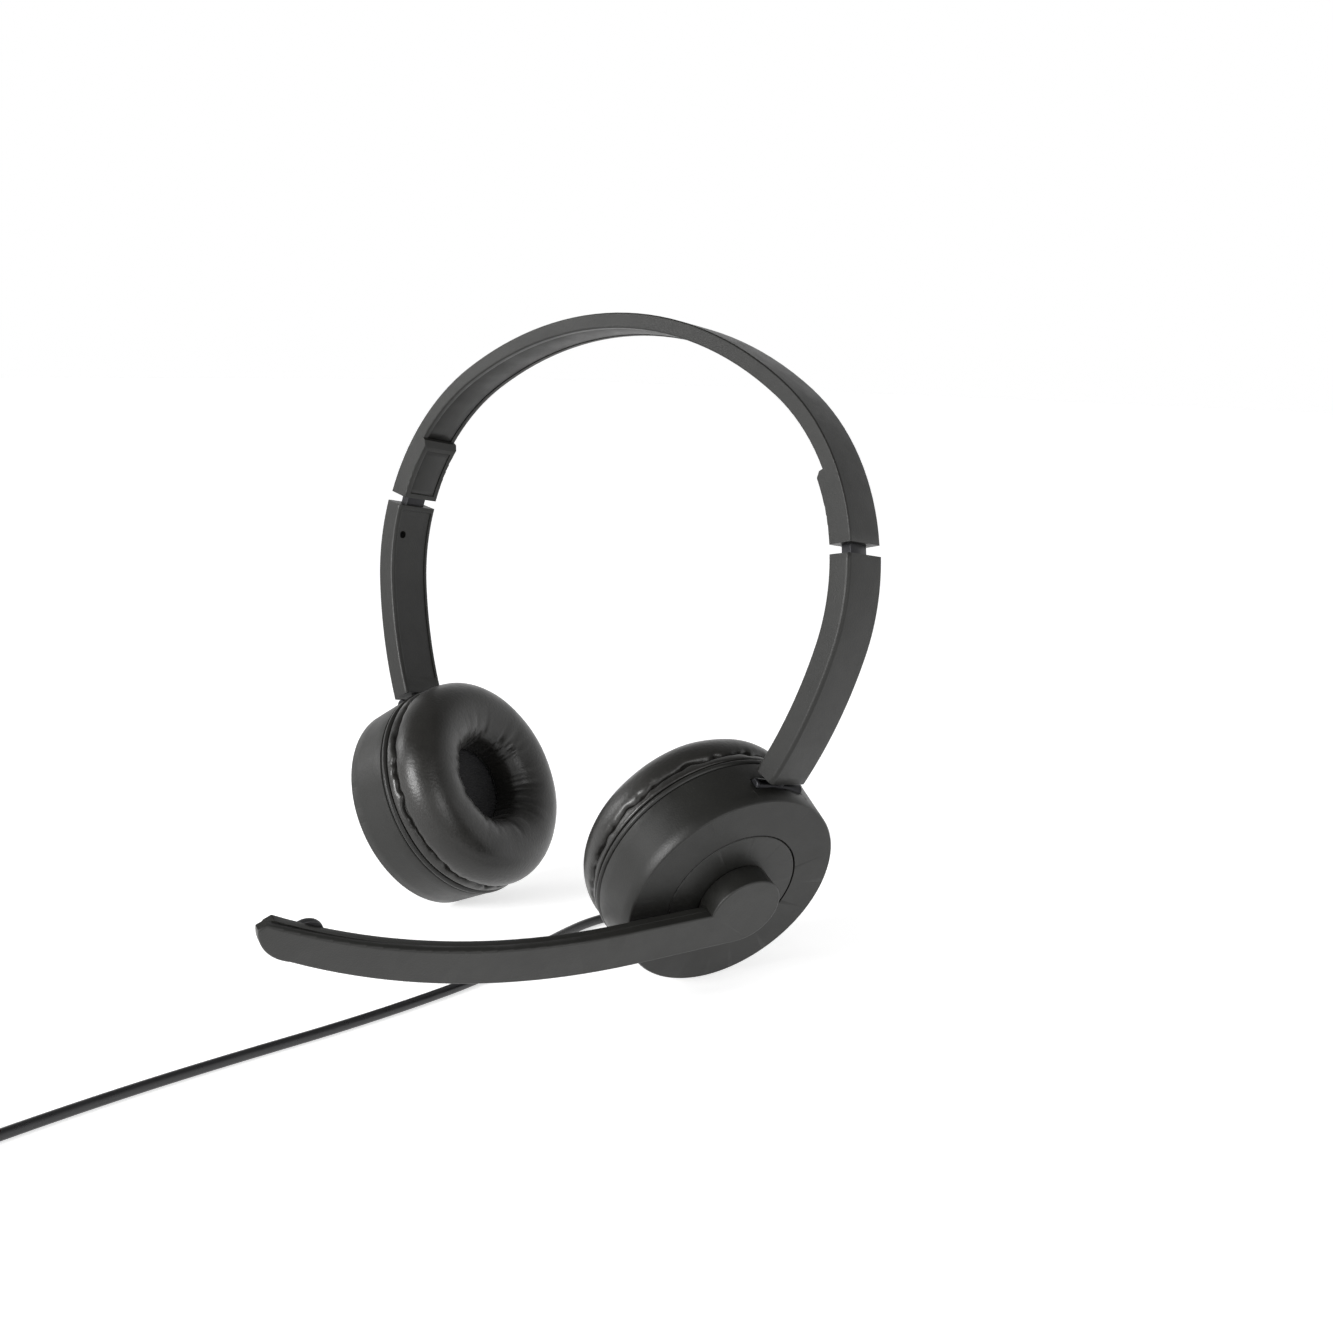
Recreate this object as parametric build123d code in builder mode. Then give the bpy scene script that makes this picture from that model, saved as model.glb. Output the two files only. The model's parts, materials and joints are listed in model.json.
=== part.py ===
"""Office headset: arched headband, two sliding arms, two tilting cups, a boom microphone and a USB cord.

Millimetres. +X is the side with the boom, -Y is the front, +Z is up. The headset stands on the lower
edges of its two cups on the plane z = 0 and leans back a little.
"""
from build123d import *
from math import cos, pi, radians, sin, tan
import os

os.makedirs("parts", exist_ok=True)

# ---- stance -------------------------------------------------------------------------------------
LEAN = 9.0              # the arch leans back by this many degrees
ARCH_HEIGHT = 65.95     # centre of the top arc above the surface
ARCH_Y = 57.37          # puts the origin under the middle of the box round the headset

# ---- headband and arms: one outline of tangent arcs, angles counted from the top -----------------
TOP_R, SIDE_R, ARM_R = 118.5, 64.8, 138.8
TOP_ANGLE, SIDE_ANGLE = 32.0, 103.3
BAND_END, ARM_START, ARM_END = 76.85, 79.5, 119.6
BAND_WIDTH, BAND_T = 13.4, 4.5
ARM_WIDTH, ARM_T = 15.2, 6.8
SKIN = 1.2              # wall of the band and of the arms
SLIDER_WIDTH, SLIDER_T, STRIP_T = 7.2, 3.0, 0.8
SLIDER_INSET = 2.3      # slider's outer face below the band's outer face
STRIP_START, SLIDER_START, SLIDER_STOP = 44.0, 62.5, 86.6
STRIP_SLOT, SLIDER_SLOT = 41.0, 59.9    # where the slider's slots in the band begin
SLIP = 0.1              # clearance of a sliding fit, each side
SPRING_START, SPRING_END = 66.0, 72.0
LINER_WIDTH, LINER_T, LINER_INSET = 9.8, 0.5, 3.85
THICK_START, THICK_T = 57.4, 7.1    # the band is thicker from this angle to its ends
PLATE_START, PLATE_END, PLATE_INSET = 60.4, 75.4, 6.1
ARM_BLOCK = 117.3       # the arm is solid from here to its end
LEDGE_INSET, COVER_T = 5.45, 1.05

# ---- cups: depths are counted inwards from the outer face ----------------------------------------
FACE_R, RIM_R, HOUSING_DEPTH = 32.0, 33.2, 14.5
WALL, FACE_T = 2.2, 2.2
DISC_R, DISC_T, DISC_GAP = 20.0, 1.2, 0.25
POST_CIRCLE, POST_R, PILOT_R = 25.0, 2.8, 1.0
BAFFLE_R, BAFFLE_T = 30.4, 2.0
RING_IN, RING_OUT, RING_DEPTH = 30.6, 33.4, 16.5
DRIVER_R, MAGNET_R = 14.5, 8.8
CUSHION_BASE, CUSHION_LIP = 18.7, 16.6
PIVOT_ANGLE, PIVOT_INSET = 120.0, 2.8   # where the swivel axis crosses the arch
PIVOT_HEIGHT, PIVOT_DEPTH = 33.6, 6.8   # the same point on the cup
BARREL_R, BARREL_HALF, BARREL_HEIGHT = 1.8, 8.5, 31.4
STEM_R, STEM_LENGTH, FIT = 1.5, 8.2, 0.06
REST = {1: (11.0, 28.4), -1: (7.25, 28.5)}  # each cup's swivel to the front and its tilt, degrees

# ---- boom ---------------------------------------------------------------------------------------
HUB_R, HUB_X, HUB_Y = 10.9, 1.2, -1.2
BOOM_FACE, BOOM_SPLIT, BOOM_BACK, HUB_FOOT = 6.8, 4.55, 2.6, 0.35
SPINDLE_R, SPINDLE_SEAT = 4.0, 2.4
TIP_SLOPE = 2.4         # the boom's inner face stops this far short of its tip
MIC_X, MIC_Y, MIC_R, BOOT_R = -124.3, -21.0, 2.4, 4.4

# ---- cord ---------------------------------------------------------------------------------------
CORD_D = 2.8
CORD_Z = 1.45           # the cord's middle where it lies on the surface
EXIT_ANGLE, EXIT_DEPTH, EXIT_SLANT = 57.0, 9.5, 32.0
RELIEF_LENGTH, RELIEF_R, RELIEF_TIP_R = 8.0, 2.6, 1.8
COIL_X, COIL_Y, COIL_BASE = -8.0, -166.5, 0.45
COIL_TURN_R, COIL_RINGS, COIL_LAYERS = 20.7, 4, 4
PLUG_Z = 4.2


def save(part, name):
    """Label one finished piece and write it."""
    part.label = name
    export_step(part, f"parts/{name}.step")


# ---- frames -------------------------------------------------------------------------------------
ARCH = Plane(origin=(0, ARCH_Y, ARCH_HEIGHT), x_dir=(1, 0, 0), z_dir=(0, -cos(radians(LEAN)),
                                                                      sin(radians(LEAN))))


def arc_centre(angle):
    """Centre and radius of the arc that the outline has at this angle, on the +X side."""
    turn = radians(TOP_ANGLE)
    side = ((TOP_R - SIDE_R) * sin(turn), (TOP_R - SIDE_R) * cos(turn))
    if angle <= TOP_ANGLE:
        return (0, 0), TOP_R
    if angle <= SIDE_ANGLE:
        return side, SIDE_R
    turn = radians(SIDE_ANGLE)
    return (side[0] + (SIDE_R - ARM_R) * sin(turn), side[1] + (SIDE_R - ARM_R) * cos(turn)), ARM_R


def arch_point(angle, inset=0.0):
    """Point of the outline at a signed angle from the top, this far inside its outer face."""
    (x, y), radius = arc_centre(abs(angle) - 1e-9)
    turn = radians(abs(angle))
    side = 1 if angle >= 0 else -1
    return side * (x + (radius - inset) * sin(turn)), y + (radius - inset) * cos(turn)


def arch_arcs(start, end, inset):
    """Tangent arcs of the outline between two angles."""
    joints = [a for a in (-SIDE_ANGLE, -TOP_ANGLE, TOP_ANGLE, SIDE_ANGLE) if start < a < end]
    stops = [start, *joints, end]
    for a, b in zip(stops, stops[1:]):
        ThreePointArc(arch_point(a, inset), arch_point((a + b) / 2, inset), arch_point(b, inset))


def arch_bar(start, end, outer, inner, width, mode=Mode.ADD):
    """Bar that follows the arch between two angles and two insets."""
    start, end = min(start, end), max(start, end)
    with BuildSketch(ARCH) as profile:
        with BuildLine():
            arch_arcs(start, end, outer)
            arch_arcs(start, end, inner)
            Line(arch_point(start, outer), arch_point(start, inner))
            Line(arch_point(end, outer), arch_point(end, inner))
        make_face()
    extrude(profile.sketch, amount=width / 2, both=True, mode=mode)


def arch_pin(angle, front, inset_from, inset_to, radius, mode=Mode.ADD):
    """Round pin or hole through the arch, square to its face."""
    x, y = arch_point(angle, inset_from)
    inwards = ARCH.x_dir * -sin(radians(angle)) - ARCH.y_dir * cos(radians(angle))
    base = Plane(origin=ARCH.from_local_coords((x, y, front)), x_dir=ARCH.z_dir, z_dir=inwards)
    with BuildSketch(base) as profile:
        Circle(radius)
    extrude(profile.sketch, amount=inset_to - inset_from, mode=mode)


def long_edges(part):
    """The edges that run along the arch."""
    return [edge for edge in part.edges().filter_by(GeomType.CIRCLE) if edge.radius > SIDE_R - 10]


def cup_plane(side):
    """Plane of a cup's outer face: x is across, y is up the cup, z points out."""
    swivel, tilt = (radians(a) for a in REST[side])
    out = (ARCH.x_dir * (side * cos(tilt) * cos(swivel)) - ARCH.y_dir * sin(tilt)
           + ARCH.z_dir * (cos(tilt) * sin(swivel)))
    up = (ARCH.z_dir.cross(out) * side).normalized()
    x, y = arch_point(side * PIVOT_ANGLE, PIVOT_INSET)
    pivot = ARCH.from_local_coords((x, y, 0))
    centre = pivot - up * PIVOT_HEIGHT + out * PIVOT_DEPTH
    return Plane(origin=centre, x_dir=up.cross(out), z_dir=out)


def section_of(cup):
    """Plane through a cup's axis: x is the radius, y points out of the face."""
    return Plane(origin=cup.origin, x_dir=cup.x_dir, z_dir=cup.y_dir * -1)


def side_of(cup):
    """Plane across a cup: x is up the cup, y points out of the face, z is the tilt axis."""
    return Plane(origin=cup.origin, x_dir=cup.y_dir, z_dir=cup.x_dir)


def turned(cup, *points):
    """Solid of revolution about the cup's axis from (radius, depth) points."""
    with BuildSketch(section_of(cup)) as profile:
        with BuildLine():
            Polyline(*[(radius, -depth) for radius, depth in points], close=True)
        make_face()
    revolve(profile.sketch, axis=Axis(cup.origin, cup.z_dir))


def wall_radius(depth):
    """Outer radius of the housing's wall at this depth."""
    return FACE_R + (RIM_R - FACE_R) * depth / HOUSING_DEPTH


# ---- headband -----------------------------------------------------------------------------------
def headband_shell():
    with BuildPart() as shell:
        arch_bar(-BAND_END, BAND_END, 0, BAND_T, BAND_WIDTH)
        for side in (1, -1):
            arch_bar(side * THICK_START, side * BAND_END, BAND_T - 1, THICK_T, BAND_WIDTH)
            step = ARCH.from_local_coords((*arch_point(side * THICK_START, THICK_T), 0))
            across = shell.edges().filter_by(Axis((0, 0, 0), ARCH.z_dir))
            chamfer(across.sort_by_distance(step)[0], 1.6)
        fillet(long_edges(shell), 0.5)
        arch_bar(-THICK_START + 0.1, THICK_START - 0.1, LINER_INSET - SLIP, BAND_T + 1,
                 LINER_WIDTH + 2 * SLIP,
                 Mode.SUBTRACT)
        for side in (1, -1):
            arch_bar(side * STRIP_SLOT, side * (SLIDER_SLOT + 1), SLIDER_INSET - SLIP,
                     SLIDER_INSET + STRIP_T + SLIP,
                     SLIDER_WIDTH + 4 * SLIP, Mode.SUBTRACT)
            arch_bar(side * SLIDER_SLOT, side * (BAND_END + 1), SLIDER_INSET - SLIP,
                     SLIDER_INSET + SLIDER_T + SLIP,
                     SLIDER_WIDTH + 4 * SLIP, Mode.SUBTRACT)
            arch_bar(side * SPRING_START, side * SPRING_END, SLIDER_INSET, PLATE_INSET + 0.1, 5.0,
                     Mode.SUBTRACT)
            arch_bar(side * PLATE_START, side * PLATE_END, PLATE_INSET, THICK_T + 1, LINER_WIDTH,
                     Mode.SUBTRACT)
    save(shell.part, "headband_shell")


def headband_liner():
    end = THICK_START - 0.3
    with BuildPart() as liner:
        arch_bar(-end, end, LINER_INSET, LINER_INSET + LINER_T, LINER_WIDTH)
    save(liner.part, "headband_liner")


def slider_plate(side, name):
    """Plate in the inner face at the band's end, and the leaf under it that presses on the slider."""
    with BuildPart() as plate:
        arch_bar(side * (PLATE_START + 0.1), side * (PLATE_END - 0.1), PLATE_INSET, THICK_T - 0.12,
                 LINER_WIDTH - 2 * SLIP)
    save(plate.part, f"{name}_slider_plate")
    near = SLIDER_INSET + SLIDER_T + 0.08
    with BuildPart() as spring:
        arch_bar(side * (SPRING_START + 0.3), side * (SPRING_END - 0.3), near, PLATE_INSET, 4.6)
    save(spring.part, f"{name}_detent_spring")


# ---- arms ---------------------------------------------------------------------------------------
SCREW_ANGLE, SCREW_FRONT, SCREW_R, SCREW_HEAD_R = 88.9, 3.9, 0.6, 1.1
SCREW_SEAT = LEDGE_INSET - 0.9
RIVET_ANGLE, RIVET_R = 84.2, 1.1


def slider(side, name):
    """Bar that carries the arm, with a thin strip that runs on inside the band."""
    inner = SLIDER_INSET + SLIDER_T
    with BuildPart() as bar:
        arch_bar(side * STRIP_START, side * (SLIDER_START + 1), SLIDER_INSET, SLIDER_INSET + STRIP_T,
                 SLIDER_WIDTH)
        arch_bar(side * SLIDER_START, side * SLIDER_STOP, SLIDER_INSET, inner, SLIDER_WIDTH)
        arch_pin(side * RIVET_ANGLE, 0, SLIDER_INSET - 1, inner + 1, RIVET_R, Mode.SUBTRACT)
    save(bar.part, f"{name}_slider")
    with BuildPart() as rivet:
        arch_pin(side * RIVET_ANGLE, 0, SKIN, inner, RIVET_R)
    save(rivet.part, f"{name}_slider_rivet")


def arm_shell(side, name, cup):
    with BuildPart() as shell:
        arch_bar(side * ARM_START, side * ARM_END, 0, ARM_T, ARM_WIDTH)
        fillet(long_edges(shell), 1.1)
        arch_bar(side * (ARM_START + 1.5), side * ARM_BLOCK, SKIN, ARM_T + 1, 10.0, Mode.SUBTRACT)
        lid_seat = (LEDGE_INSET, ARM_T + 1, 12.1, Mode.SUBTRACT)
        arch_bar(side * (ARM_START + 1.5), side * ARM_BLOCK, *lid_seat)
        mouth = (SLIDER_INSET, SLIDER_INSET + SLIDER_T, SLIDER_WIDTH, Mode.SUBTRACT)
        arch_bar(side * (ARM_START - 1), side * (ARM_START + 2), *mouth)
        arch_pin(side * SCREW_ANGLE, SCREW_FRONT, SKIN - 0.2, LEDGE_INSET, 1.5)
        arch_pin(side * SCREW_ANGLE, SCREW_FRONT, SKIN, LEDGE_INSET + 2, SCREW_R, Mode.SUBTRACT)
        arch_pin(side * SCREW_ANGLE, SCREW_FRONT, SCREW_SEAT, LEDGE_INSET + 2, SCREW_HEAD_R + 0.1,
                 Mode.SUBTRACT)
        bore = Plane(origin=cup.from_local_coords((0, BARREL_HEIGHT, -PIVOT_DEPTH)), z_dir=cup.y_dir)
        with BuildSketch(bore):
            Circle(STEM_R + FIT)
        extrude(amount=STEM_LENGTH + 2.5, mode=Mode.SUBTRACT)
    save(shell.part, f"{name}_arm_shell")


def arm_cover(side, name):
    """Long cover on the inner face of the arm, with its screw."""
    start, end = ARM_START + 1.6, ARM_BLOCK - 0.05
    with BuildPart() as cover:
        arch_bar(side * start, side * end, LEDGE_INSET, LEDGE_INSET + COVER_T, 12.0)
        arch_pin(side * SCREW_ANGLE, SCREW_FRONT, LEDGE_INSET - 1, ARM_T, SCREW_HEAD_R + 0.1, Mode.SUBTRACT)
    save(cover.part, f"{name}_arm_cover")
    with BuildPart() as screw:
        arch_pin(side * SCREW_ANGLE, SCREW_FRONT, SKIN + 0.1, SCREW_SEAT + 0.05, SCREW_R - 0.02)
        arch_pin(side * SCREW_ANGLE, SCREW_FRONT, SCREW_SEAT + 0.02, SCREW_SEAT + 0.5, SCREW_HEAD_R)
    save(screw.part, f"{name}_arm_screw")


def yoke(name, cup):
    """Barrel that the cup tilts on, with the stem that swivels in the arm."""
    with BuildPart() as knuckle:
        with BuildSketch(side_of(cup)):
            with Locations((BARREL_HEIGHT, -PIVOT_DEPTH)):
                Circle(BARREL_R)
        extrude(amount=BARREL_HALF, both=True)
        fillet(knuckle.edges().filter_by(GeomType.CIRCLE), 0.7)
        with BuildSketch(Plane(origin=cup.from_local_coords((0, BARREL_HEIGHT, -PIVOT_DEPTH)),
                               z_dir=cup.y_dir)):
            Circle(STEM_R)
        extrude(amount=STEM_LENGTH)
    save(knuckle.part, f"{name}_yoke")


# ---- cups ---------------------------------------------------------------------------------------
def exit_plane(cup, distance):
    """Plane square to the cord's way out of the cup, this far from the wall along that way."""
    turn, slant = radians(EXIT_ANGLE), radians(EXIT_SLANT)
    radial = cup.x_dir * sin(turn) - cup.y_dir * cos(turn)
    start = cup.from_local_coords((0, 0, -EXIT_DEPTH)) + radial * wall_radius(EXIT_DEPTH)
    way = radial * cos(slant) - cup.z_dir * sin(slant)
    return Plane(origin=start + way * distance, z_dir=way)


def cup_housing(name, cup, has_boom):
    with BuildPart() as housing:
        turned(cup, (0, 0), (FACE_R - 0.4, 0), (FACE_R, 0.4), (RIM_R, HOUSING_DEPTH - 0.3),
               (RIM_R - 0.3, HOUSING_DEPTH), (RIM_R - WALL, HOUSING_DEPTH), (FACE_R - WALL, FACE_T), (0,
                                                                                                      FACE_T))
        with BuildSketch(cup):
            Circle(DISC_R)
        extrude(amount=-DISC_T, mode=Mode.SUBTRACT)
        with BuildSketch(cup.offset(-FACE_T + 0.2)):
            with PolarLocations(POST_CIRCLE, 3, start_angle=30):
                Circle(POST_R)
        extrude(amount=-(HOUSING_DEPTH - FACE_T + 0.2))
        with BuildSketch(cup.offset(-HOUSING_DEPTH)):
            with PolarLocations(POST_CIRCLE, 3, start_angle=30):
                Circle(PILOT_R)
        extrude(amount=8, mode=Mode.SUBTRACT)
        with BuildSketch(side_of(cup)):
            with Locations((29.2, -PIVOT_DEPTH)):
                Rectangle(3.4, 6.6)
        extrude(amount=9.8, both=True)
        with BuildSketch(side_of(cup)):
            with Locations((BARREL_HEIGHT, -PIVOT_DEPTH)):
                Circle(BARREL_R + FIT)
        extrude(amount=BARREL_HALF + 0.2, both=True, mode=Mode.SUBTRACT)
        with BuildSketch(side_of(cup)):
            with Locations((BARREL_HEIGHT + 1.5, -PIVOT_DEPTH)):
                Rectangle(3.0, 2 * STEM_R + 1.4)
        extrude(amount=STEM_R + 0.4, both=True, mode=Mode.SUBTRACT)
        if has_boom:
            with BuildSketch(cup):
                hub(SPINDLE_R + FIT)
            extrude(amount=-FACE_T - 1, mode=Mode.SUBTRACT)
            with BuildSketch(exit_plane(cup, -5.0)):
                Circle(RELIEF_R + 0.05)
            extrude(amount=10, mode=Mode.SUBTRACT)
    save(housing.part, f"{name}_cup_housing")


def cup_disc(name, cup, has_boom):
    """Round insert in the outer face."""
    with BuildPart() as disc:
        with BuildSketch(cup.offset(-DISC_T)):
            Circle(DISC_R - DISC_GAP)
        extrude(amount=DISC_T)
        chamfer(disc.edges().sort_by(Axis(cup.origin, cup.z_dir))[-1], 0.3)
        if has_boom:
            with BuildSketch(cup):
                hub(SPINDLE_R + FIT)
            extrude(amount=-DISC_T, mode=Mode.SUBTRACT)
    save(disc.part, f"{name}_cup_disc")


def cup_ring(name, cup):
    """Trim ring between the housing and the cushion."""
    top = HOUSING_DEPTH + 0.15
    with BuildPart() as ring:
        turned(cup, (RING_IN, top), (RING_OUT - 0.5, top), (RING_OUT, top + 0.5), (RING_OUT + 0.1,
                                                                                   RING_DEPTH - 0.7),
               (RING_OUT - 0.6, RING_DEPTH), (RING_IN, RING_DEPTH))
    save(ring.part, f"{name}_cup_ring")


def cup_baffle(name, cup):
    """Plate that closes the housing and carries the driver, with its three screws."""
    near, far = HOUSING_DEPTH + 0.05, HOUSING_DEPTH + 0.05 + BAFFLE_T
    with BuildPart() as baffle:
        with BuildSketch(cup.offset(-near)):
            Circle(BAFFLE_R)
            Circle(DRIVER_R + 0.1, mode=Mode.SUBTRACT)
            with PolarLocations(POST_CIRCLE, 3, start_angle=30):
                Circle(PILOT_R + 0.1, mode=Mode.SUBTRACT)
            with PolarLocations(20, 8, start_angle=10):
                Circle(0.9, mode=Mode.SUBTRACT)
        extrude(amount=-BAFFLE_T)
    save(baffle.part, f"{name}_cup_baffle")
    with BuildPart() as screws:
        with BuildSketch(cup.offset(-far)):
            with PolarLocations(POST_CIRCLE, 3, start_angle=30):
                Circle(1.9)
        extrude(amount=-1.2)
        with BuildSketch(cup.offset(-far)):
            with PolarLocations(POST_CIRCLE, 3, start_angle=30):
                Circle(PILOT_R - 0.02)
        extrude(amount=6)
        with BuildSketch(cup.offset(-far - 1.2)):
            with PolarLocations(POST_CIRCLE, 3, start_angle=30):
                Rectangle(2.4, 0.5)
                Rectangle(0.5, 2.4)
        extrude(amount=0.6, mode=Mode.SUBTRACT)
    save(screws.part, f"{name}_baffle_screws")


def driver(name, cup):
    with BuildPart() as basket:
        turned(cup, (DRIVER_R, 17.5), (DRIVER_R, 11.8), (MAGNET_R + 0.6, 11.8), (MAGNET_R + 0.6, 12.6),
               (DRIVER_R - 0.9, 12.6), (DRIVER_R - 0.9, 17.5))
    save(basket.part, f"{name}_driver_basket")
    with BuildPart() as magnet:
        turned(cup, (0, 7.3), (MAGNET_R - 0.5, 7.3), (MAGNET_R, 7.8), (MAGNET_R, 11.7), (MAGNET_R + 0.6,
                                                                                         11.8),
               (MAGNET_R + 0.6, 12.6), (0, 12.6))
    save(magnet.part, f"{name}_driver_magnet")
    with BuildPart() as diaphragm:
        turned(cup, (0, 16.4), (4.5, 15.9), (6.0, 15.3), (9.5, 15.9), (DRIVER_R - 0.95, 16.6),
               (DRIVER_R - 0.95, 16.9), (9.5, 16.2), (6.0, 15.6), (4.5, 16.2), (0, 16.7))
    save(diaphragm.part, f"{name}_driver_diaphragm")


def ear_cushion(name, cup):
    """Foam ring in its leatherette skin, whose skirt laps over the trim ring, and the fabric in its hole."""
    with BuildPart() as fabric:
        with BuildSketch(cup.offset(-CUSHION_BASE + 0.65)):
            Circle(16.5)
        extrude(amount=-0.45)
    save(fabric.part, f"{name}_ear_fabric")
    with BuildPart() as cushion:
        with BuildSketch(section_of(cup)):
            with BuildLine():
                ThreePointArc((33.2, -CUSHION_LIP), (33.0, -24.0), (30.2, -29.6))
                ThreePointArc((30.2, -29.6), (22.4, -32.6), (14.6, -30.4))
                ThreePointArc((14.6, -30.4), (11.8, -26.0), (12.4, -19.2))
                Polyline((12.4, -19.2), (12.4, -CUSHION_BASE), (28.4, -CUSHION_BASE), (28.4, -CUSHION_LIP),
                         (33.2, -CUSHION_LIP))
            make_face()
        revolve(axis=Axis(cup.origin, cup.z_dir))
    save(cushion.part, f"{name}_ear_cushion")


# ---- boom ---------------------------------------------------------------------------------------
def boom_blade(tip):
    """Blade of the boom in the cup's plane, shorter by tip at its end."""
    with BuildLine() as outline:
        Line((-4, -3.4), (-9.5, -3.4))
        Line((-9.5, -3.4), (-30.2, -9.9))
        ThreePointArc((-30.2, -9.9), (-88, -20.3), (-138.4 + tip, -15.1))
        Line((-138.4 + tip, -15.1), (-140.0 + tip, -16.8))
        ThreePointArc((-140.0 + tip, -16.8), (-136.4 + 0.7 * tip, -22.2), (-128, -25.7))
        ThreePointArc((-128, -25.7), (-84, -30.7), (-27, -21.9))
        Line((-27, -21.9), (4.6, -11.55))
        Line((4.6, -11.55), (-4, -3.4))
    make_face(outline.edges())


def hub(radius, mode=Mode.ADD):
    """Circle round the boom's pivot."""
    with Locations((HUB_X, HUB_Y)):
        Circle(radius, mode=mode)


def boom(cup):
    with BuildPart() as shell:
        with BuildSketch(cup.offset(BOOM_SPLIT)):
            boom_blade(0)
            hub(HUB_R)
        extrude(amount=BOOM_FACE - BOOM_SPLIT)
        fillet(shell.faces().sort_by(Axis(cup.origin, cup.z_dir))[-1].edges(), 0.5)
        with BuildSketch(cup.offset(BOOM_SPLIT)):
            with BuildLine():
                ThreePointArc((-16, -9.5), (-80, -22.6), (-124, -19.0))
                Line((-124, -19.0), (-124.4, -22.6))
                ThreePointArc((-124.4, -22.6), (-84, -27.8), (-16, -15.0))
                Line((-16, -15.0), (-16, -9.5))
            make_face()
        extrude(amount=1.1, mode=Mode.SUBTRACT)
        with BuildSketch(cup.offset(HUB_FOOT)):
            hub(HUB_R)
        extrude(amount=BOOM_SPLIT - HUB_FOOT)
        with BuildSketch(cup.offset(HUB_FOOT)):
            hub(SPINDLE_R)
        extrude(amount=SPINDLE_SEAT, mode=Mode.SUBTRACT)
    save(shell.part, "boom_outer_shell")
    with BuildPart() as cover:
        with BuildSketch(cup.offset(BOOM_BACK)):
            boom_blade(TIP_SLOPE)
            hub(HUB_R + 0.1, Mode.SUBTRACT)
        extrude(amount=BOOM_SPLIT - 0.05 - BOOM_BACK)
        with BuildSketch(cup.offset(BOOM_BACK)):
            with Locations((MIC_X, MIC_Y)):
                Circle(MIC_R + 0.1)
        extrude(amount=3, mode=Mode.SUBTRACT)
    save(cover.part, "boom_inner_cover")
    with BuildPart() as spindle:
        with BuildSketch(cup.offset(HUB_FOOT + SPINDLE_SEAT)):
            hub(SPINDLE_R)
            hub(1.6, Mode.SUBTRACT)
        extrude(amount=-8.2)
    save(spindle.part, "boom_spindle")
    with BuildPart() as washer:
        with BuildSketch(cup.offset(-FACE_T - 0.08)):
            hub(7.0)
            hub(SPINDLE_R, Mode.SUBTRACT)
        extrude(amount=-0.78)
    save(washer.part, "boom_friction_washer")
    with BuildPart() as clip:
        with BuildSketch(cup.offset(-FACE_T - 0.86)):
            hub(6.4)
            hub(SPINDLE_R, Mode.SUBTRACT)
        extrude(amount=-0.8)
    save(clip.part, "boom_clip")


def microphone(cup):
    with BuildPart() as capsule:
        with BuildSketch(cup.offset(BOOM_BACK + 0.1)):
            with Locations((MIC_X, MIC_Y)):
                Circle(MIC_R)
        extrude(amount=1.7)
    save(capsule.part, "microphone_capsule")
    with BuildPart() as boot:
        with BuildSketch(cup.offset(BOOM_BACK - 0.02)):
            with Locations((MIC_X, MIC_Y)):
                Circle(BOOT_R)
        extrude(amount=-2.3)
        fillet(boot.edges().sort_by(Axis(cup.origin, cup.z_dir))[0], 1.6)
        with BuildSketch(cup.offset(BOOM_BACK)):
            with Locations((MIC_X, MIC_Y)):
                Circle(0.9)
        extrude(amount=-3, mode=Mode.SUBTRACT)
    save(boot.part, "microphone_boot")


# ---- cord ---------------------------------------------------------------------------------------
def strain_relief(cup):
    with BuildPart() as relief:
        with BuildSketch(exit_plane(cup, -3.6)):
            Circle(RELIEF_R)
        extrude(amount=4.6)
        with BuildSketch(exit_plane(cup, 1.0)):
            Circle(RELIEF_R)
        with BuildSketch(exit_plane(cup, RELIEF_LENGTH)):
            Circle(RELIEF_TIP_R)
        loft()
    save(relief.part, "cord_strain_relief")
    return exit_plane(cup, RELIEF_LENGTH)


def tube(points, name):
    """Round cord along straight runs joined by arcs as large as the runs allow."""
    points = [Vector(*point) for point in points]
    radii = []
    for before, corner, after in zip(points, points[1:], points[2:]):
        turn = radians((corner - before).get_angle(after - corner))
        run = min((corner - before).length, (after - corner).length)
        radii.append(0.45 * run / tan(turn / 2))
    print(name, "radii", [round(radius, 1) for radius in radii])
    with BuildPart() as cord:
        with BuildLine() as route:
            FilletPolyline(*points, radius=radii)
        way = points[1] - points[0]
        with BuildSketch(Plane(origin=points[0], z_dir=way)):
            Circle(CORD_D / 2)
        sweep(path=route.wires()[0])
    length = route.wires()[0].length
    print(name, "length", round(length, 1), "volume ratio",
          round(cord.part.volume / (length * pi * CORD_D**2 / 4), 4))
    save(cord.part, name)


def on_floor(*points):
    return [(x, y, CORD_Z) for x, y in points]


def cord(tip):
    start = tip.origin
    falling = [start + tip.z_dir * 7.6, (35.4, 97.7, 3.05), (28.2, 102.1, 1.75)]
    behind = [(19.6, 103.3), (11.2, 99.9), (4.4, 92.9), (-0.6, 82.1)]
    between = [(-3.0, 64.7), (0.2, 47.7), (5.8, 27.7), (11.4, 5.7), (13.0, -19.3), (13.1, -45.3), (11.6,
                                                                                                   -71.3)]
    outside = [(10.8, -97.3), (11.2, -121.3), (12.6, -144.3), (COIL_X + COIL_TURN_R, COIL_Y)]
    tube([start, *falling, *on_floor(*behind, *between, *outside)], "cord")


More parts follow.
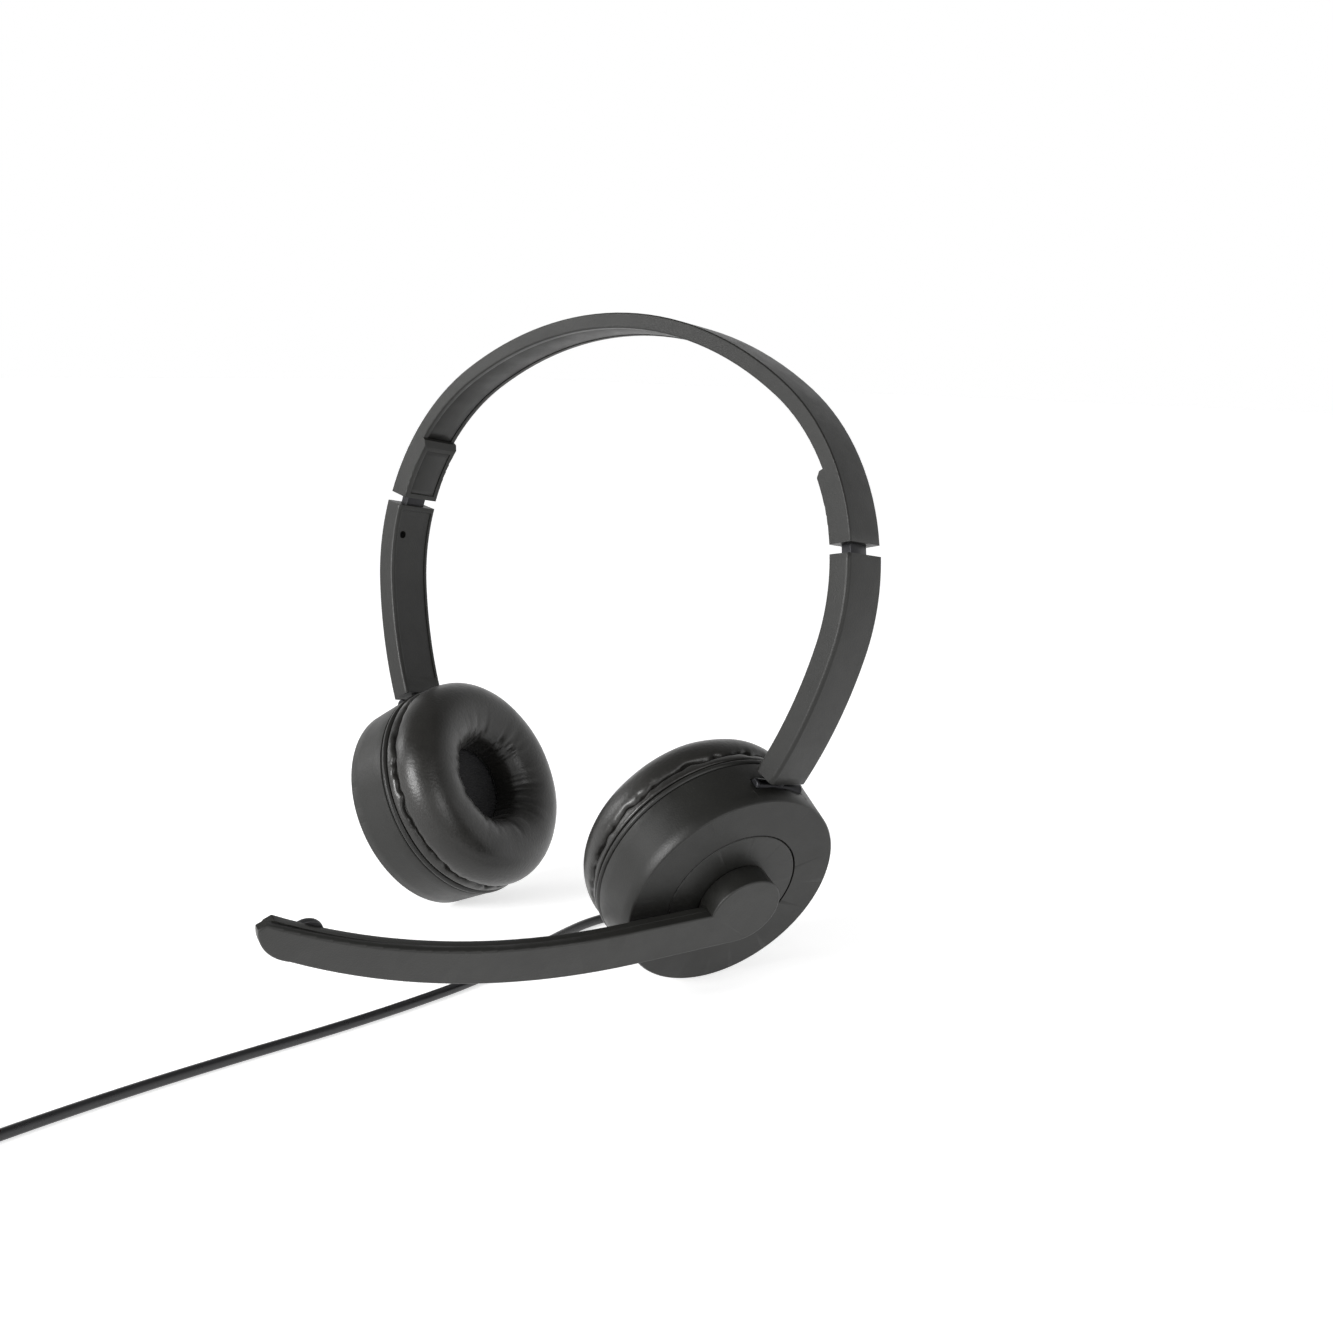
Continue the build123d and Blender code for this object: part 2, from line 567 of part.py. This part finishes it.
def coil():
    """Outer shape of the wound cord, its tie, and the tail that leads to the plug."""
    middle = (COIL_TURN_R + COIL_TURN_R - CORD_D * (COIL_RINGS - 1)) / 2
    half, height = CORD_D * COIL_RINGS / 2, CORD_D * COIL_LAYERS
    section = Plane(origin=(COIL_X, COIL_Y, COIL_BASE), x_dir=(1, 0, 0), z_dir=(0, -1, 0))
    with BuildPart() as bundle:
        with BuildSketch(section):
            with Locations((middle, height / 2)):
                RectangleRounded(2 * half, height, 1.3)
        revolve(axis=Axis((COIL_X, COIL_Y, 0), (0, 0, 1)))
    save(bundle.part, "cord_coil")
    tie_section = Plane(origin=section.origin, x_dir=(-0.8, 0.6, 0), z_dir=(0.6, 0.8, 0))
    with BuildPart() as tie:
        with BuildSketch(tie_section):
            with Locations((middle, height / 2)):
                RectangleRounded(2 * half + 1.0, height + 0.86, 1.7)
                RectangleRounded(2 * half + 0.1, height + 0.1, 1.35, mode=Mode.SUBTRACT)
        revolve(axis=Axis((COIL_X, COIL_Y, 0), (0, 0, 1)), revolution_arc=24)
    save(tie.part, "cord_tie")


def plug():
    """USB plug that lies beside the coil, pointing to -X."""
    tail_x, y = -44.0, COIL_Y - COIL_TURN_R + 0.6
    facing = Plane(origin=(tail_x, y, PLUG_Z), x_dir=(0, 1, 0), z_dir=(-1, 0, 0))
    tail = [(COIL_X - 1.5, COIL_Y - COIL_TURN_R - 0.4, COIL_BASE + 3.5 * CORD_D),
            (COIL_X - 14.0, COIL_Y - COIL_TURN_R - 0.6, 8.9), (tail_x + 11, y, PLUG_Z), (tail_x, y, PLUG_Z)]
    tube(tail, "cord_tail")
    with BuildPart() as body:
        with BuildSketch(facing):
            Circle(2.1)
        with BuildSketch(facing.offset(9)):
            Circle(3.2)
        loft()
        with BuildSketch(facing.offset(9)):
            RectangleRounded(15.5, 8.0, 2.2)
        extrude(amount=26)
        fillet(body.faces().sort_by(Axis.X)[0].edges(), 1.0)
    save(body.part, "usb_plug_body")
    with BuildPart() as shell:
        with BuildSketch(facing.offset(35)):
            RectangleRounded(12.0, 4.5, 0.4)
            Rectangle(11.2, 3.7, mode=Mode.SUBTRACT)
        extrude(amount=12)
        with BuildSketch(facing.offset(35)):
            Rectangle(11.2, 3.7)
        extrude(amount=1)
    save(shell.part, "usb_plug_shell")
    with BuildPart() as tongue:
        with BuildSketch(facing.offset(36)):
            with Locations((0, -0.85)):
                Rectangle(11.0, 1.8)
        extrude(amount=10)
    save(tongue.part, "usb_plug_tongue")


# ---- the whole headset ----------------------------------------------------------------------------
headband_shell()
headband_liner()
for side, name in ((1, "right"), (-1, "left")):
    face = cup_plane(side)
    print(name, "cup centre", face.origin, "out", face.z_dir, "up", face.y_dir, "across", face.x_dir)
    slider_plate(side, name)
    slider(side, name)
    arm_shell(side, name, face)
    arm_cover(side, name)
    yoke(name, face)
    cup_housing(name, face, side == 1)
    cup_disc(name, face, side == 1)
    cup_ring(name, face)
    cup_baffle(name, face)
    driver(name, face)
    ear_cushion(name, face)
right_face = cup_plane(1)
boom(right_face)
microphone(right_face)
relief_tip = strain_relief(right_face)
print("relief tip", relief_tip.origin, relief_tip.z_dir)
cord(relief_tip)
coil()
plug()
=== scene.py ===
import json
from math import cos, pi, radians, sin

import bmesh
import bpy
from mathutils import Matrix, Vector, noise


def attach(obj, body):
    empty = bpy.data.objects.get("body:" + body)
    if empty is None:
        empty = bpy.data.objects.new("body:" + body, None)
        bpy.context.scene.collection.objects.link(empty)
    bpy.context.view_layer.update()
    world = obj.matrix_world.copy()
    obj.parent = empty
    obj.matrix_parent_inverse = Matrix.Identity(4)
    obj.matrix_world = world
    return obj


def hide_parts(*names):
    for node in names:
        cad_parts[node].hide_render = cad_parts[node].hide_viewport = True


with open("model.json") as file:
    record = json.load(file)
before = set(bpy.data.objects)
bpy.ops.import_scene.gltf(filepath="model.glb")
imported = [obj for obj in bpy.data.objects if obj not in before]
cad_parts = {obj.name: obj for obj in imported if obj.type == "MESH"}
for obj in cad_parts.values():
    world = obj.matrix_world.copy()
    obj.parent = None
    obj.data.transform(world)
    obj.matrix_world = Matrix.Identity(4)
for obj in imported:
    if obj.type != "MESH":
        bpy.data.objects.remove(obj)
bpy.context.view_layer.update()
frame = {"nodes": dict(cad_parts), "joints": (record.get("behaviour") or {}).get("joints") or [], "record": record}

MM = 0.001
scene = bpy.context.scene
nodes = frame["nodes"]
joints = {joint["name"]: joint for joint in frame["joints"]}
SIDES = ("right", "left")

# ---- places on the cups ------------------------------------------------------------------------
BARREL_HEIGHT, PIVOT_DEPTH = 31.4 * MM, 6.8 * MM
EXIT_ANGLE, EXIT_SLANT, EXIT_DEPTH = radians(57.0), radians(32.0), 9.5 * MM
WALL_AT_EXIT = 32.79 * MM
RELIEF_LENGTH = 8.0 * MM


def cup_frame(side):
    """Matrix of a cup: x across it, y up it, z out of its outer face."""
    up = Vector(joints[side + "_swivel"]["axis"])
    across = Vector(joints[side + "_tilt"]["axis"])
    if side == "right":
        across.negate()
    out = across.cross(up)
    centre = Vector(joints[side + "_tilt"]["pos_m"]) - up * BARREL_HEIGHT + out * PIVOT_DEPTH
    matrix = Matrix((across, up, out)).transposed().to_4x4()
    matrix.translation = centre
    return matrix


CUPS = {side: cup_frame(side) for side in SIDES}


# ---- camera ------------------------------------------------------------------------------------
def add_camera():
    right = Vector((0.74449, 0.66718, 0.02458))
    up = Vector((-0.13395, 0.11320, 0.98450))
    data = bpy.data.cameras.new("camera")
    data.sensor_width = 36.0
    data.lens = 49.1
    data.clip_start = 0.01
    camera = bpy.data.objects.new("camera", data)
    scene.collection.objects.link(camera)
    camera.matrix_world = Matrix((right, up, right.cross(up))).transposed().to_4x4()
    camera.matrix_world.translation = Vector((0.36668, -0.31974, 0.17480))
    scene.camera = camera


add_camera()


# ---- materials ---------------------------------------------------------------------------------
def new_material(name, colour, roughness, **sockets):
    """Principled material with its plain values set, and its node tree's useful parts."""
    material = bpy.data.materials.new(name)
    material.use_nodes = True
    tree = material.node_tree
    shader = tree.nodes["Principled BSDF"]
    shader.inputs["Base Color"].default_value = (*colour, 1.0)
    shader.inputs["Roughness"].default_value = roughness
    for socket, value in sockets.items():
        shader.inputs[socket.replace("_", " ")].default_value = value
    place = tree.nodes.new("ShaderNodeTexCoord").outputs["Object"]
    return material, tree, shader, place


def texture(tree, kind, place, scale, **values):
    node = tree.nodes.new("ShaderNodeTex" + kind)
    tree.links.new(place, node.inputs["Vector"])
    node.inputs["Scale"].default_value = scale
    for socket, value in values.items():
        node.inputs[socket].default_value = value
    return node


def ramp(tree, source, low, high, colours):
    node = tree.nodes.new("ShaderNodeValToRGB")
    tree.links.new(source, node.inputs["Fac"])
    for element, position, colour in zip(node.color_ramp.elements, (low, high), colours):
        element.position = position
        element.color = (*colour, 1.0)
    return node.outputs["Color"]


def bump(tree, shader, layers):
    """Stacks bump layers of (height output, strength, distance in metres)."""
    previous = None
    for height, strength, distance in layers:
        node = tree.nodes.new("ShaderNodeBump")
        node.inputs["Strength"].default_value = strength
        node.inputs["Distance"].default_value = distance
        tree.links.new(height, node.inputs["Height"])
        if previous is not None:
            tree.links.new(previous, node.inputs["Normal"])
        previous = node.outputs["Normal"]
    tree.links.new(previous, shader.inputs["Normal"])


def varied(tree, shader, place, colour, spread, roughness, scale):
    """Slow changes of colour and roughness, as handling and moulding leave them."""
    cloud = texture(tree, "Noise", place, scale, Detail=6.0, Roughness=0.6)
    dark = tuple(c * (1 - spread) for c in colour)
    light = tuple(c * (1 + spread) for c in colour)
    tree.links.new(ramp(tree, cloud.outputs["Fac"], 0.3, 0.7, (dark, light)), shader.inputs["Base Color"])
    smear = texture(tree, "Noise", place, scale * 2.3, Detail=8.0, Roughness=0.7)
    shades = tuple((value,) * 3 for value in roughness)
    tree.links.new(ramp(tree, smear.outputs["Fac"], 0.35, 0.68, shades), shader.inputs["Roughness"])


def moulded(name, colour, roughness, grain=0.5, grain_scale=2600.0, **sockets):
    """Moulded plastic with a fine spark-eroded grain and faint handling marks."""
    material, tree, shader, place = new_material(name, colour, roughness[0], **sockets)
    varied(tree, shader, place, colour, 0.22, roughness, 55.0)
    fine = texture(tree, "Noise", place, grain_scale, Detail=3.0, Roughness=0.6)
    pits = texture(tree, "Voronoi", place, grain_scale * 0.8)
    scuff = texture(tree, "Noise", place, 240.0, Detail=5.0, Roughness=0.7, Distortion=1.2)
    bump(tree, shader, ((fine.outputs["Fac"], grain, 0.00004), (pits.outputs["Distance"], grain, 0.00004),
                        (scuff.outputs["Fac"], 0.10, 0.00008)))
    return material


def leatherette():
    """Soft coated cushion skin: pebbled grain, fine creases and a low sheen."""
    colour = (0.0085, 0.0080, 0.0068)
    material, tree, shader, place = new_material("leatherette", colour, 0.36, Sheen_Weight=0.05)
    varied(tree, shader, place, colour, 0.3, (0.29, 0.42), 70.0)
    pebbles = texture(tree, "Voronoi", place, 1150.0, Randomness=0.95)
    cells = texture(tree, "Voronoi", place, 560.0, Randomness=1.0)
    cells.feature = "DISTANCE_TO_EDGE"
    creases = texture(tree, "Noise", place, 330.0, Detail=4.0, Roughness=0.55, Distortion=2.2)
    bump(tree, shader, ((pebbles.outputs["Distance"], 0.35, 0.00008),
                        (cells.outputs["Distance"], 0.22, 0.00010),
                        (creases.outputs["Fac"], 0.20, 0.00022)))
    return material


def knit():
    """Thin acoustic knit over the driver."""
    colour = (0.006, 0.006, 0.007)
    material, tree, shader, place = new_material("ear_fabric", colour, 0.85, Sheen_Weight=0.10)
    varied(tree, shader, place, colour, 0.4, (0.75, 0.95), 160.0)
    loops = texture(tree, "Voronoi", place, 1500.0, Randomness=0.15)
    bump(tree, shader, ((loops.outputs["Distance"], 0.9, 0.00022),))
    return material


def metal(name, colour, roughness, stretch=(1.0, 1.0, 1.0)):
    """Metal with drawn or rolled lines and light wear."""
    material, tree, shader, place = new_material(name, colour, roughness[0], Metallic=1.0)
    varied(tree, shader, place, colour, 0.15, roughness, 90.0)
    mapping = tree.nodes.new("ShaderNodeMapping")
    mapping.inputs["Scale"].default_value = stretch
    tree.links.new(place, mapping.inputs["Vector"])
    lines = texture(tree, "Noise", mapping.outputs["Vector"], 900.0, Detail=3.0)
    bump(tree, shader, ((lines.outputs["Fac"], 0.25, 0.00003),))
    return material


def jacket():
    """Smooth extruded cord jacket with a faint drag texture."""
    colour = (0.010, 0.010, 0.011)
    material, tree, shader, place = new_material("cord_jacket", colour, 0.30)
    varied(tree, shader, place, colour, 0.25, (0.25, 0.36), 120.0)
    drag = texture(tree, "Noise", place, 800.0, Detail=3.0)
    bump(tree, shader, ((drag.outputs["Fac"], 0.18, 0.00004),))
    return material


MATERIALS = {
    "body_plastic": moulded("body_plastic", (0.0090, 0.0090, 0.0080), (0.38, 0.48), Specular_IOR_Level=0.36),
    "trim_plastic": moulded("trim_plastic", (0.0095, 0.0095, 0.0085), (0.36, 0.46), Specular_IOR_Level=0.40),
    "inner_plastic": moulded("inner_plastic", (0.0080, 0.0080, 0.0072), (0.40, 0.52),
                             Specular_IOR_Level=0.40),
    "boom_plastic": moulded("boom_plastic", (0.0115, 0.0115, 0.0102), (0.38, 0.48), Specular_IOR_Level=0.42),
    "slider_steel": metal("slider_steel", (0.035, 0.035, 0.037), (0.34, 0.46), (1.0, 1.0, 0.05)),
    "spring_steel": metal("spring_steel", (0.45, 0.45, 0.46), (0.25, 0.35)),
    "dark_metal": metal("dark_metal", (0.025, 0.025, 0.027), (0.36, 0.48)),
    "magnet": metal("magnet", (0.55, 0.55, 0.56), (0.18, 0.28)),
    "diaphragm": moulded("diaphragm", (0.20, 0.19, 0.17), (0.20, 0.30), grain=0.1),
    "ear_fabric": knit(),
    "leatherette": leatherette(),
    "soft_rubber": moulded("soft_rubber", (0.011, 0.011, 0.012), (0.48, 0.60), grain=0.35),
    "cord_jacket": jacket(),
    "plug_steel": metal("plug_steel", (0.62, 0.62, 0.63), (0.20, 0.30)),
    "plug_tongue": moulded("plug_tongue", (0.75, 0.75, 0.73), (0.30, 0.40), grain=0.15),
    "capsule": metal("capsule", (0.60, 0.60, 0.61), (0.30, 0.42)),
}


WELD_DISTANCE = 0.004 * MM
EDGE_RADIUS, EDGE_ANGLE = 0.25 * MM, radians(40)
UNROUNDED = "arm_cover"     # long triangles beside the screw hole shade badly once they are welded


def finish_cad_nodes():
    """Gives each CAD piece its slot's material and, except for the arm covers, rounded edges."""
    slots = {entry["node"]: entry["material_slot"] for entry in frame["record"]["subparts"]}
    for name, node in nodes.items():
        node.data.materials.clear()
        node.data.materials.append(MATERIALS[slots[name]])
        if name.endswith(UNROUNDED):
            continue
        weld = node.modifiers.new("weld", "WELD")
        weld.merge_threshold = WELD_DISTANCE
        edges = node.modifiers.new("edges", "BEVEL")
        edges.width = EDGE_RADIUS
        edges.segments = 2
        edges.limit_method = "ANGLE"
        edges.angle_limit = EDGE_ANGLE
        edges.harden_normals = True


finish_cad_nodes()


# ---- helpers for new pieces ----------------------------------------------------------------------
def add_piece(name, mesh, slot, body):
    piece = bpy.data.objects.new(name, mesh)
    scene.collection.objects.link(piece)
    mesh.materials.append(MATERIALS[slot])
    for polygon in mesh.polygons:
        polygon.use_smooth = True
    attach(piece, body)
    return piece


def turned_mesh(name, profile, place, steps):
    """Solid of revolution about z of (radius, height) points, which start and end on the axis or close up."""
    shape = bmesh.new()
    rows = []
    for step in range(steps):
        turn = 2 * pi * step / steps
        rows.append([shape.verts.new(place @ Vector((r * cos(turn), r * sin(turn), h))) for r, h in profile])
    for row, following in zip(rows, rows[1:] + rows[:1]):
        for i in range(len(profile)):
            j = (i + 1) % len(profile)
            if profile[i][0] or profile[j][0]:
                shape.faces.new((row[i], row[j], following[j], following[i]))
    bmesh.ops.remove_doubles(shape, verts=shape.verts, dist=1e-7)
    bmesh.ops.recalc_face_normals(shape, faces=shape.faces)
    mesh = bpy.data.meshes.new(name)
    shape.to_mesh(mesh)
    shape.free()
    return mesh


# ---- cord --------------------------------------------------------------------------------------
CORD_D = 2.8 * MM
CORD_Z = 1.45 * MM
COIL = Vector((-8.0, -166.5, 0.45)) * MM
COIL_TURN_R, COIL_RINGS, COIL_LAYERS = 20.7 * MM, 4, 4
COIL_STEPS = 16
COIL_TURNS = 15.25
PLUG_Z = 4.2 * MM
PLUG_BACK = -44.0 * MM
RELIEF_TIP = (46.5, 82.52, 8.17)
OUT_OF_RELIEF = [(42.12, 88.2, 5.66), (35.4, 97.7, 3.05), (28.2, 102.1, 1.75)]
ON_FLOOR = [(19.6, 103.3), (11.2, 99.9), (4.4, 92.9), (-0.6, 82.1), (-3.0, 64.7), (0.2, 47.7), (5.8, 27.7),
            (11.4, 5.7), (13.0, -19.3), (13.1, -45.3), (11.6, -71.3), (10.8, -97.3), (11.2, -121.3),
            (12.6, -144.3)]


def smooth(value):
    value = min(max(value, 0.0), 1.0)
    return value * value * (3 - 2 * value)


def coil_place(turn):
    """Ring and layer of one turn: inwards on even layers, outwards on odd ones."""
    layer, step = divmod(turn, COIL_RINGS)
    ring = step if layer % 2 == 0 else COIL_RINGS - 1 - step
    return ring, layer


def coil_points():
    """Control points of the wound turns, clockwise from the +X side."""
    points = []
    for i in range(int(COIL_TURNS * COIL_STEPS) + 1):
        turn, part = divmod(i / COIL_STEPS, 1)
        ring, layer = coil_place(int(turn))
        next_ring, next_layer = coil_place(min(int(turn) + 1, COIL_RINGS * COIL_LAYERS - 1))
        ring += (next_ring - ring) * smooth((part - 0.4) / 0.3)
        layer += (next_layer - layer) * smooth((part - 0.7) / 0.3)
        radius = (COIL_TURN_R - ring * CORD_D) / cos(pi / COIL_STEPS)
        angle = -2 * pi * part
        points.append(COIL + Vector((radius * cos(angle), radius * sin(angle), (layer + 0.5) * CORD_D)))
    return points


def add_cord():
    tail_y = COIL.y - COIL_TURN_R + 0.6 * MM
    route = [Vector(point) * MM for point in [RELIEF_TIP] + OUT_OF_RELIEF]
    route += [Vector((x * MM, y * MM, CORD_Z)) for x, y in ON_FLOOR]
    route += coil_points()
    route += [Vector((COIL.x - 14 * MM, COIL.y - COIL_TURN_R - 0.6 * MM, 8.9 * MM)),
              Vector((PLUG_BACK + 11 * MM, tail_y, PLUG_Z)), Vector((PLUG_BACK, tail_y, PLUG_Z))]
    curve = bpy.data.curves.new("cord_line", "CURVE")
    curve.dimensions = "3D"
    curve.bevel_depth = CORD_D / 2
    curve.bevel_resolution = 4
    curve.resolution_u = 5
    curve.use_fill_caps = True
    spline = curve.splines.new("NURBS")
    spline.points.add(len(route) - 1)
    for point, place in zip(spline.points, route):
        point.co = (*place, 1.0)
    spline.order_u = 3
    spline.use_endpoint_u = True
    cord = bpy.data.objects.new("cord_line", curve)
    scene.collection.objects.link(cord)
    curve.materials.append(MATERIALS["cord_jacket"])
    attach(cord, "right_cup")
    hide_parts("cord", "cord_coil", "cord_tail")
    return cord


def add_relief():
    """Ribbed tapered sleeve where the cord leaves the right cup."""
    cup = CUPS["right"]
    across, up, out = (cup.to_3x3().col[i] for i in range(3))
    radial = across * sin(EXIT_ANGLE) - up * cos(EXIT_ANGLE)
    way = radial * cos(EXIT_SLANT) - out * sin(EXIT_SLANT)
    side = way.cross(out).normalized()
    place = Matrix((side, way.cross(side) * -1, way)).transposed().to_4x4()
    place.translation = cup @ Vector((0, 0, -EXIT_DEPTH)) + radial * WALL_AT_EXIT
    profile = [(0.0, -3.0), (2.6, -3.0), (2.6, 0.9), (2.55, 1.0)]
    for rib in range(4):
        start, radius = 1.2 + 1.55 * rib, 2.6 - 0.2 * rib
        profile += [(radius - 0.42, start), (radius - 0.42, start + 0.45), (radius, start + 0.6),
                    (radius - 0.08, start + 1.4)]
    profile += [(1.85, 7.6), (1.8, 7.9), (1.62, 8.0), (0.0, 8.0)]
    mesh = turned_mesh("strain_relief", [(r * MM, h * MM) for r, h in profile], place, 40)
    relief = add_piece("strain_relief", mesh, "soft_rubber", "right_cup")
    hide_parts("cord_strain_relief")
    return relief


cord = add_cord()
relief = add_relief()


# ---- ear cushions --------------------------------------------------------------------------------
CUSHION_STEPS = 200
# (radius, depth) from the lip beside the trim ring, over the seam groove and the crown, to the hidden base
CUSHION_PROFILE = [(31.6, 16.75), (32.9, 16.8), (33.15, 17.3), (33.05, 18.1), (32.9, 18.9), (32.4, 19.4),
                   (31.0, 19.75), (31.8, 20.0), (32.7, 20.4), (33.05, 21.3), (33.1, 22.8), (32.9, 24.4),
                   (32.4, 26.1), (31.5, 27.8), (30.2, 29.4), (28.5, 30.8), (26.5, 31.8), (24.3, 32.3),
                   (22.0, 32.4), (19.8, 32.1), (17.7, 31.4), (15.9, 30.4), (14.4, 29.1), (13.2, 27.5),
                   (12.6, 25.6), (12.3, 23.4), (12.2, 21.2), (12.4, 19.2), (14.5, 18.8), (19.0, 18.8),
                   (24.0, 18.8), (28.4, 18.8), (29.6, 17.6)]
SEAM_ROW, HOLE_ROW = 6, 23
FIRST_FREE_ROW, LAST_FREE_ROW = 8, 26
MAX_SWELL = 0.8 * MM
CLOTH_FRAMES = 20
SEAM_REACH, HOLE_REACH = 3.5, 5         # rows over which the puckers and the creases fade
PUCKER_DEPTH, PUCKER_CAP = 1.5, 0.1
CREASE_DEPTH, CREASE_CAP = 1.1, 0.15
WAVE_DEPTH, RAGGED_DEPTH = 0.25, 1.7


def cushion_mesh(name, cup):
    """Slightly slack ring in the cushion's shape."""
    shape = bmesh.new()
    rows = []
    for step in range(CUSHION_STEPS):
        turn = 2 * pi * step / CUSHION_STEPS
        points = [Vector((r * cos(turn), r * sin(turn), -d)) * MM for r, d in CUSHION_PROFILE]
        rows.append([shape.verts.new(cup @ point) for point in points])
    count = len(CUSHION_PROFILE)
    for row, following in zip(rows, rows[1:] + rows[:1]):
        for i in range(count):
            j = (i + 1) % count
            shape.faces.new((row[i], row[j], following[j], following[i]))
    bmesh.ops.recalc_face_normals(shape, faces=shape.faces)
    mesh = bpy.data.meshes.new(name)
    shape.to_mesh(mesh)
    shape.free()
    return mesh


def inflate(piece):
    """Swells the skin by cloth simulation, held at its seam and base, and keeps the capped result."""
    mesh = piece.data
    group = piece.vertex_groups.new(name="held")
    count = len(CUSHION_PROFILE)
    held = [v.index for v in mesh.vertices
            if v.index % count < FIRST_FREE_ROW or v.index % count > LAST_FREE_ROW]
    group.add(held, 1.0, "REPLACE")
    cloth = piece.modifiers.new("cloth", "CLOTH")
    settings = cloth.settings
    settings.quality = 5
    settings.mass = 0.1
    settings.tension_stiffness = 12
    settings.compression_stiffness = 4
    settings.bending_stiffness = 0.05
    settings.use_pressure = True
    settings.uniform_pressure_force = 4
    settings.vertex_group_mass = "held"
    settings.effector_weights.gravity = 0
    start = [v.co.copy() for v in mesh.vertices]
    for step in range(1, CLOTH_FRAMES + 1):
        scene.frame_set(step)
    swollen = piece.evaluated_get(bpy.context.evaluated_depsgraph_get()).data
    moves = [v.co - s for v, s in zip(swollen.vertices, start)]
    piece.modifiers.remove(cloth)
    for vertex, move in zip(mesh.vertices, moves):
        if move.length > MAX_SWELL:
            move *= MAX_SWELL / move.length
        vertex.co += move
    piece.vertex_groups.clear()
    scene.frame_set(1)


def gather(piece, cup, seed):
    """Puckers and a ragged line along the outer seam, and creases that run into the hole."""
    mesh = piece.data
    mesh.update()
    count = len(CUSHION_PROFILE)
    outwards = cup.to_3x3().col[2]
    normals = [v.normal.copy() for v in mesh.vertices]
    for vertex, normal in zip(mesh.vertices, normals):
        step, row = divmod(vertex.index, count)
        turn = 2 * pi * step / CUSHION_STEPS
        round_ring = Vector((cos(turn), sin(turn), 0))
        near_seam = max(0.0, 1 - abs(row - SEAM_ROW) / SEAM_REACH)
        near_hole = max(0.0, 1 - abs(row - HOLE_ROW) / HOLE_REACH)
        pucker = noise.noise(round_ring * 14 + Vector((seed, 0, row * 0.10)))
        ragged = noise.noise(round_ring * 12 + Vector((seed, 3, 0)))
        crease = noise.noise(round_ring * 8 + Vector((0, seed, row * 0.08 + 5)))
        wave = noise.noise(round_ring * 2.2 + Vector((seed, seed, row * 0.15)))
        depth = (PUCKER_DEPTH * near_seam * min(pucker, PUCKER_CAP)
                 + CREASE_DEPTH * near_hole * min(crease, CREASE_CAP) + WAVE_DEPTH * wave)
        if row <= LAST_FREE_ROW:
            vertex.co += normal * depth * MM - outwards * (RAGGED_DEPTH * near_seam * ragged) * MM


def add_cushion(side, seed):
    cup = CUPS[side]
    name = side + "_cushion_skin"
    piece = add_piece(name, cushion_mesh(name, cup), "leatherette", side + "_cup")
    inflate(piece)
    gather(piece, cup, seed)
    skin = piece.modifiers.new("smooth", "SUBSURF")
    skin.levels = 1
    skin.render_levels = 1
    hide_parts(side + "_ear_cushion")


for seed, side in enumerate(SIDES):
    add_cushion(side, 3.7 + 8.1 * seed)


# ---- surroundings ------------------------------------------------------------------------------
FLOOR_HALF = 6.0
FLOOR_GLOW = 0.63
AIM = (0, 0, 0.09)


def add_floor():
    """Pale floor with a little light of its own, so that it runs into the horizon without a line."""
    mesh = bpy.data.meshes.new("floor")
    corners = [(x * FLOOR_HALF, y * FLOOR_HALF, 0) for x, y in ((-1, -1), (1, -1), (1, 1), (-1, 1))]
    mesh.from_pydata(corners, [], [(0, 1, 2, 3)])
    floor = bpy.data.objects.new("floor", mesh)
    scene.collection.objects.link(floor)
    material, _, shader, _ = new_material("floor", (0.80, 0.80, 0.80), 0.7, Emission_Strength=FLOOR_GLOW)
    shader.inputs["Emission Color"].default_value = (1.0, 1.0, 1.0, 1.0)
    mesh.materials.append(material)


def add_light(name, place, target, size, power):
    data = bpy.data.lights.new(name, "AREA")
    data.shape = "DISK"
    data.size = size
    data.energy = power
    light = bpy.data.objects.new(name, data)
    scene.collection.objects.link(light)
    light.location = place
    light.rotation_euler = (Vector(target) - Vector(place)).to_track_quat("-Z", "Y").to_euler()


def add_world():
    """White at the horizon and dimmer overhead, like a studio with its lamps at the front."""
    world = bpy.data.worlds.new("studio")
    scene.world = world
    world.use_nodes = True
    tree = world.node_tree
    way = tree.nodes.new("ShaderNodeTexCoord").outputs["Generated"]
    parts = tree.nodes.new("ShaderNodeSeparateXYZ")
    tree.links.new(way, parts.inputs["Vector"])
    shade = ramp(tree, parts.outputs["Z"], 0.26, 0.75, ((1.0, 1.0, 1.0), (0.22, 0.22, 0.22)))
    tree.links.new(shade, tree.nodes["Background"].inputs["Color"])
    tree.nodes["Background"].inputs["Strength"].default_value = 1.0


add_floor()
add_light("key", (-0.1, -1.2, 0.5), AIM, 0.5, 15)
add_light("fill", (1.2, -0.3, 0.5), AIM, 0.6, 2.5)
add_light("side", (-0.9, -0.5, 0.5), AIM, 0.4, 2.2)
add_world()
scene.view_settings.view_transform = "Standard"
